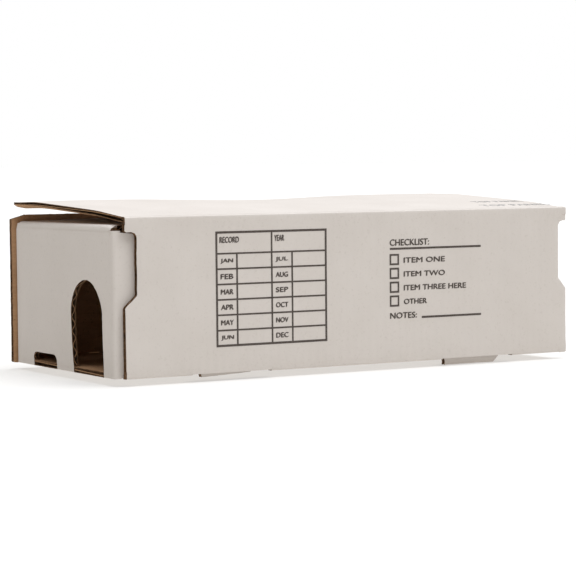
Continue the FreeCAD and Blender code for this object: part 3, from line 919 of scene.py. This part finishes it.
def build_corner_flap(end, side, name):
    """Corner flap, with its foot carried down past the floor beside its fold. Its lock
    tab curls under."""
    node = f"{name}_corner_flap"

    def curled(u, v, w):
        below = max(0.0, BASE_Z + 0.5 - v)
        return u, v, w + TAB_CURL * below**1.5

    flat = Panel((0, side * -FLAP_Y, 0), X, Z, -side * Y)
    fold = END_FACES[end] - end * FOLD_RUN
    foot_end = fold - end * (CORNER_RUN - 0.4)
    foot = BASE_Z + 0.4
    corners = with_foot(cad_outline(node, flat), fold, foot_end, foot)
    panel = Panel((0, side * -FLAP_Y, 0), X, Z, -side * Y, shape=curled)
    mesh = board(f"{name}_corner_flap_board", panel, corners, 1, folds=((0, fold),))
    finish_board(mesh, f"{name}_corner_flap_board", node, "carton")


def with_foot(corners, fold, foot_end, foot):
    """Swaps the outline's bottom corner on the fold for a foot that reaches lower."""
    result = []
    for i, (u, v) in enumerate(corners):
        if abs(u - fold) > 0.05 or v > BASE_Z + BOARD + 0.1:
            result.append((u, v))
            continue
        step = [(foot_end, v), (foot_end, foot), (u, foot)]
        came_along_bottom = abs(corners[i - 1][1] - v) < 0.1
        result += step if came_along_bottom else step[::-1]
    return result


def build_lid():
    """Lid, with a relief at each end of the tuck flap's fold."""
    low, high = near_low.x, near_high.x
    tuck_low, tuck_high = box_mm("lid_tuck_flap")
    near_fold = LID_FOLD.y + FOLD_RUN
    far = LID_FAR_Y
    far_fold = far - FOLD_RUN
    corners = [
        (slewed(low, near_fold), near_fold),
        (slewed(high, near_fold), near_fold),
        (slewed(high, far - 1.0), far - 1.0),
        (slewed(high, far) - 1.0, far),
        (tuck_high.x + 0.5, far),
        (tuck_high.x + 0.5, far_fold),
        (tuck_low.x - 0.5, far_fold),
        (tuck_low.x - 0.5, far),
        (slewed(low, far) + 1.0, far),
        (slewed(low, far - 1.0), far - 1.0),
    ]
    folds = ((1, near_fold), (1, far_fold))
    mesh = board("lid_board", LID_PANEL, corners, 0, folds, lid_crush)
    finish_board(mesh, "lid_board", "lid", "lid")


def build_lid_fold():
    """Crushed strip between the near wall and the lid."""
    mesh = Builder()
    into_lid = (LID_OPENING.to_3x3() @ Y).normalized()
    corner = (near_low.x, LID_FOLD.y, LID_FOLD.z)
    end = (near_high.x, LID_FOLD.y, LID_FOLD.z)
    add_fold(mesh, corner, end, -Z, into_lid, thick=1.5, crisp=5.0)
    finish_fold(mesh, "lid_fold_strip")


def build_tuck_flap():
    """Tuck flap, crushed towards its fold, and the strip that joins it to the lid."""
    lean = turn_about(TUCK_FOLD, (1, 0, 0), -TUCK_LEAN)
    low, high = box_mm("lid_tuck_flap")
    middle, half = (low.x + high.x) / 2, (high.x - low.x) / 2
    tip = half - 6.0
    top = LID_FOLD.z - FOLD_RUN

    def shape(u, v, w):
        crushed = 0.5 * (1.0 - smooth((top - v) / 9.0))
        return u, v + lid_lift(u, LID_FAR_Y), w * (1.0 - crushed)

    panel = Panel((0, LID_FAR_Y, 0), X, Z, -Y, turn=LID_OPENING @ lean, shape=shape)
    bottom = top - TUCK_DEPTH
    right = [(tip - 3.0, bottom), (tip, bottom + 3.0), (half, top)]
    corners = [(middle + u, v) for u, v in right] + [(middle - u, v) for u, v in reversed(right)]
    mesh = board("tuck_flap_board", panel, corners, 0, folds=((1, top),))
    finish_board(mesh, "tuck_flap_board", "lid_tuck_flap", "tuck_flap")

    strip = Builder()
    corner = Vector((middle - half, LID_FAR_Y, LID_FOLD.z))
    end = Vector((middle + half, LID_FAR_Y, LID_FOLD.z))
    into_flap = (lean.to_3x3() @ -Z).normalized()

    def closed_to_rest(place):
        return LID_OPENING @ (place + Z * lid_lift(place.x, LID_FAR_Y))

    add_fold(strip, corner, end, -Y, into_flap, thick=1.4, crisp=2.0, shape=closed_to_rest)
    finish_fold(strip, "tuck_fold_strip")


DUST_STRIP_EXTRA = 2.4  # the crushed strip runs on past the flap's far end


def build_dust_flap(end, side_name):
    node = f"{side_name}_dust_flap"
    fold = Vector((END_FACES[end], 0, DUST_FOLD_Z))
    opening = turn_about(fold, (0, end, 0), DUST_REST)
    panel = Panel((fold.x, 0, fold.z), Y, -end * X, -Z, turn=opening)
    corners = []
    for u, v in cad_outline(node, panel):
        corners.append((u, max(v, FOLD_RUN)))
    corners = without_straight_points(corners)
    mesh = board(f"{side_name}_dust_flap_board", panel, corners, 1, folds=((1, FOLD_RUN),))
    finish_board(mesh, f"{side_name}_dust_flap_board", node, f"{side_name}_dust_flap")

    strip = Builder()
    half = box_mm(node)[1].y
    into_flap = (opening.to_3x3() @ (-end * X)).normalized()
    corner = Vector((fold.x, -half, fold.z))
    far_end = Vector((fold.x, half + DUST_STRIP_EXTRA, fold.z))

    def pinched(place):
        end_on = 1.0 - smooth(min(place.y + half, far_end.y - place.y) / 3.0)
        return place + (into_flap - Z) * (0.8 * end_on)

    add_fold(strip, corner, far_end, -Z, into_flap, thick=2.2, crisp=1.5, shape=pinched)
    finish_fold(strip, f"{side_name}_dust_fold_strip")


def build_fixed_folds():
    """The folds that never move: along the floor's four sides and up the four corners."""
    mesh = Builder()
    for ends, y, inward in ((NEAR_FOLD, NEAR_Y, Y), (FAR_FOLD, FAR_Y, -Y)):
        for low, high in between_slots(*ends):
            add_fold(mesh, (low, y, BASE_Z), (high, y, BASE_Z), Z, inward, crisp=5.0)
    side = end_high.y
    foot = BASE_Z + 0.3
    for end, x in END_FACES.items():
        corner_run = side - FOLD_RUN + 0.3
        feet = ((-corner_run, ENTRY_LOW), (ENTRY_HIGH, SLOT_LOW), (SLOT_HIGH, corner_run))
        for low, high in feet:
            add_fold(mesh, (x, low, BASE_Z), (x, high, BASE_Z), Z, -end * X, crisp=4.0)
        for flap_side, head in ((-1, DUST_FOLD_Z - BOARD + 0.6), (1, DUST_FOLD_Z - 0.9)):
            y = flap_side * side

            def turned_under(place):
                inset = 0.5 * smooth((place.z - head + 1.5) / 1.5)
                return place - Vector((end * inset, flap_side * inset, 0))

            add_fold(mesh, (x, y, foot), (x, y, head), -flap_side * Y, -end * X, crisp=1.5,
                     shape=turned_under)
    piece = mesh.make("carton_fold_rounds", BOARD_FINISH)
    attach(piece, "carton")


# ---- printing


FORM_X = 2.65  # middle of the printed form


def wall_point(x, z, proud):
    """A point on the near wall's printed face, in metres."""
    return NEAR_PANEL.place(FORM_X + x, z, SURFACE_DEPTH - proud)


def lid_point(x, y, proud):
    return LID_PANEL.place(x, y, SURFACE_DEPTH - proud)


LETTER_WEIGHT = 0.16  # letters are struck twice, this far to either side
INK_PROUD = 0.07
INK_SINK = 0.02
STROKE_STEP = 2.5  # spacing of the points along a ruled line


def add_stroke(mesh, point_at, start, end, width):
    """A ruled line as a thin bar that follows the board's surface."""
    start, end = Vector(start), Vector(end)
    way = (end - start).normalized()
    across = Vector((-way.y, way.x)) * (width / 2)
    steps = max(1, round((end - start).length / STROKE_STEP))
    rows = []
    for k in range(steps + 1):
        here = start.lerp(end, k / steps)
        one, two = here + across, here - across
        ring = ((one, INK_PROUD), (two, INK_PROUD), (two, -INK_SINK), (one, -INK_SINK))
        rows.append([mesh.point(point_at(p.x, p.y, proud)) for p, proud in ring])
    for one, two in zip(rows, rows[1:]):
        for k in range(4):
            n = (k + 1) % 4
            mesh.face((one[k], one[n], two[n], two[k]), 0)
    mesh.face(tuple(reversed(rows[0])), 0)
    mesh.face(tuple(rows[-1]), 0)


def add_frame(mesh, point_at, low, high, width):
    """A ruled rectangle."""
    (x0, y0), (x1, y1) = low, high
    half = width / 2
    for y in (y0, y1):
        add_stroke(mesh, point_at, (x0 - half, y), (x1 + half, y), width)
    for x in (x0, x1):
        add_stroke(mesh, point_at, (x, y0 + half), (x, y1 - half), width)


def weld_key(vertex):
    """Equal for vertices in the same place, so that a letter's faces share them."""
    return tuple(round(c, 5) for c in vertex.co)


def add_words(mesh, point_at, words, low, width, height):
    """Words set to an exact width and capital height, as thin solid letters."""
    curve = bpy.data.curves.new("words", "FONT")
    curve.body = words
    curve.resolution_u = 3
    curve.extrude = 0.01
    text = in_scene("words", curve)
    bpy.context.view_layer.update()
    letters = text.evaluated_get(bpy.context.evaluated_depsgraph_get()).to_mesh()
    us = [v.co.x for v in letters.vertices]
    vs = [v.co.y for v in letters.vertices]
    scale_u = width / (max(us) - min(us))
    scale_v = height / (max(vs) - min(vs))
    for strike, proud in ((-LETTER_WEIGHT, INK_PROUD), (LETTER_WEIGHT, 1.1 * INK_PROUD)):
        welded = {}
        for v in letters.vertices:
            corner = weld_key(v)
            if corner not in welded:
                u = low[0] + (v.co.x - min(us)) * scale_u + strike
                up = low[1] + (v.co.y - min(vs)) * scale_v + 0.6 * strike
                height_at = proud if v.co.z > 0 else -INK_SINK
                welded[corner] = mesh.point(point_at(u, up, height_at))
        for polygon in letters.polygons:
            corners = [welded[weld_key(letters.vertices[i])] for i in polygon.vertices]
            mesh.face(tuple(dict.fromkeys(corners)), 0)
    bpy.data.objects.remove(text)
    bpy.data.curves.remove(curve)


TABLE_COLUMNS = (-73.0, -62.8, -45.1, -34.6, -17.0)
TABLE_TOP = 65.2
HEADER_HEIGHT = 9.3
ROW_HEIGHT = 6.75
MONTHS = ("JAN", "FEB", "MAR", "APR", "MAY", "JUN", "JUL", "AUG", "SEP", "OCT", "NOV", "DEC")
LIST_X = 17.4
LIST_RIGHT = 68.3
LIST_TOP = 52.7
LIST_STEP = 6.35
LIST_BOX = 4.3
ROWS = 6
FRAME_LINE = 1.0
COLUMN_LINE = 0.85
ROW_LINE = 0.75
UNDERLINE = 0.95
LIST_WORDS = (("ITEM ONE", 22.8), ("ITEM TWO", 22.8), ("ITEM THREE HERE", 34.7), ("OTHER", 12.6))


def build_form():
    """Table of months and a short tick list, with generic words."""
    mesh = Builder()
    left, month_a, middle, month_b, right = TABLE_COLUMNS
    rows_top = TABLE_TOP - HEADER_HEIGHT
    bottom = rows_top - ROWS * ROW_HEIGHT
    add_frame(mesh, wall_point, (left, bottom), (right, TABLE_TOP), FRAME_LINE)
    add_stroke(mesh, wall_point, (middle, bottom), (middle, TABLE_TOP), COLUMN_LINE)
    for x in (month_a, month_b):
        add_stroke(mesh, wall_point, (x, bottom), (x, rows_top), COLUMN_LINE)
    for row in range(ROWS):
        level = rows_top - row * ROW_HEIGHT
        add_stroke(mesh, wall_point, (left, level), (right, level), ROW_LINE)
    for i, month in enumerate(MONTHS):
        x = (left if i < ROWS else middle) + 2.0
        level = rows_top - (i % ROWS + 1) * ROW_HEIGHT + 2.3
        add_words(mesh, wall_point, month, (x, level), 6.2, 2.2)
    add_words(mesh, wall_point, "RECORD", (left + 1.6, TABLE_TOP - 4.6), 9.6, 2.6)
    add_words(mesh, wall_point, "YEAR", (middle + 1.4, TABLE_TOP - 4.4), 5.0, 2.6)

    add_words(mesh, wall_point, "CHECKLIST:", (LIST_X, 56.9), 21.6, 2.9)
    add_stroke(mesh, wall_point, (LIST_X, 55.5), (LIST_RIGHT, 55.5), UNDERLINE)
    for i, (words, width) in enumerate(LIST_WORDS):
        top = LIST_TOP - i * LIST_STEP
        low = (LIST_X + 0.25, top - LIST_BOX)
        add_frame(mesh, wall_point, low, (LIST_X + 0.25 + LIST_BOX, top), COLUMN_LINE)
        add_words(mesh, wall_point, words, (25.0, low[1] + 0.5), width, 2.4)
    add_words(mesh, wall_point, "NOTES:", (LIST_X, 23.4), 14.6, 2.7)
    add_stroke(mesh, wall_point, (34.8, 23.5), (LIST_RIGHT, 23.5), UNDERLINE)
    piece = mesh.make("printed_form", [INK])
    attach(piece, "carton")


def build_lid_print():
    """Two faint lines of generic words near the lid's right end."""
    mesh = Builder()
    for x, y, width in ((85.7, -30.0, 28.5), (80.2, -45.0, 39.0)):
        add_words(mesh, lid_point, "TOP PANEL", (x, y), width, 5.0)
    piece = mesh.make("lid_print", [FAINT_INK])
    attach(piece, "lid")


# ---- contents


def finish_contents():
    """Gives the carried-over trap, glue card and lure nodes their finishes."""
    wire = metal("plated_wire", (0.50, 0.47, 0.42), (0.72, 0.69, 0.63), 0.28)
    plate = metal("pedal_plate", (0.50, 0.36, 0.14), (0.74, 0.57, 0.26), 0.3)
    finishes = {
        "trap_base": pine(),
        "trap_staples": wire,
        "trap_striker": wire,
        "trap_spring": wire,
        "trap_hold_down_arm": wire,
        "trap_bait_pedal": plate,
        "bait_pellet": bait_paste(),
        "glue_card": coated_card(),
        "glue_layer": adhesive(),
        "lure_capsule": lure_rubber(),
    }
    for node, material in finishes.items():
        mesh = frame["nodes"][node].data
        mesh.materials.clear()
        mesh.materials.append(material)
    for node, width in (("trap_base", 0.5), ("glue_card", 0.15), ("glue_layer", 0.3)):
        edge = frame["nodes"][node].modifiers.new("eased_edges", "BEVEL")
        edge.width = width * MM
        edge.segments = 2


# ---- studio


FLOOR_GLOW = 0.5  # strength of the floor's own light


def build_stage():
    """Plain pale floor that glows a little, as a light table does."""
    mesh = Builder()
    half = 30000.0
    corners = [(-half, -half), (half, -half), (half, half), (-half, half)]
    mesh.face([mesh.point(Vector((x, y, 0)) * MM) for x, y in corners], 0)
    material, tree, shader = new_material("pale_floor")
    cloud = noise_node(tree, 2.0, 2.0)
    tone = ramp(tree, cloud, ((0.3, (0.42, 0.413, 0.40)), (0.7, (0.44, 0.433, 0.42))))
    dress(
        tree, shader, tone,
        Roughness=0.95, Emission_Color=(1.0, 0.985, 0.965, 1.0), Emission_Strength=FLOOR_GLOW,
    )
    mesh.make("pale_floor", [material])


CAMERA_PLACE = Vector((-539.3, -914.0, 96.9))
CAMERA_AZIMUTH = 30.45
CAMERA_DOWN = 3.29
CAMERA_ROLL = -0.54
CAMERA_LENS = 139.9


def build_camera():
    camera = bpy.data.cameras.new("camera")
    camera.lens = CAMERA_LENS
    camera.sensor_width = 36.0
    camera.clip_start = 0.01
    camera.clip_end = 50.0
    holder = in_scene("camera", camera)
    heading = Matrix.Rotation(math.radians(-CAMERA_AZIMUTH), 4, "Z")
    tilt = Matrix.Rotation(math.radians(90 - CAMERA_DOWN), 4, "X")
    roll = Matrix.Rotation(math.radians(CAMERA_ROLL), 4, "Z")
    holder.matrix_world = Matrix.Translation(CAMERA_PLACE * MM) @ heading @ tilt @ roll
    bpy.context.scene.camera = holder


WORLD_GLOW = (0.30, 0.292, 0.282)


def build_lights():
    world = bpy.data.worlds.new("studio")
    world.use_nodes = True
    tree = world.node_tree
    background = tree.nodes["Background"]
    rays = tree.nodes.new("ShaderNodeLightPath")
    glow = mix(tree, rays.outputs["Is Camera Ray"], WORLD_GLOW, (1.0, 1.0, 1.0))
    tree.links.new(glow, background.inputs["Color"])
    bpy.context.scene.world = world
    soft_light("overhead", (0.26, -0.10, 1.0), 3.85, 70.0)


def soft_light(name, source, strength, spread):
    """Distant light from a direction, as wide as a large diffuser."""
    light = bpy.data.lights.new(name, "SUN")
    light.energy = strength
    light.angle = math.radians(spread)
    light.color = (0.95, 0.985, 1.04)
    holder = in_scene(name, light)
    holder.rotation_euler = (-Vector(source)).to_track_quat("-Z", "Y").to_euler()


INK = ink("printing_ink", (0.05, 0.036, 0.028), (0.11, 0.09, 0.078))
FAINT_INK = ink("faint_printing_ink", (0.33, 0.315, 0.30), (0.45, 0.43, 0.41))


def main():
    build_wall("near_wall_board", "near_wall", NEAR_PANEL, *NEAR_FOLD)
    build_wall("far_wall_board", "far_wall", FAR_PANEL, *FAR_FOLD)
    build_floor()
    for end, side_name in ((-1, "left"), (1, "right")):
        build_end_panel(end, side_name)
        build_dust_flap(end, side_name)
        for side, wall_name in ((-1, "near"), (1, "far")):
            build_corner_flap(end, side, f"{wall_name}_{side_name}")
    build_lid()
    build_lid_fold()
    build_tuck_flap()
    build_fixed_folds()
    build_form()
    build_lid_print()
    finish_contents()
    build_stage()
    build_camera()
    build_lights()
    bpy.context.scene.view_settings.view_transform = "Standard"


main()
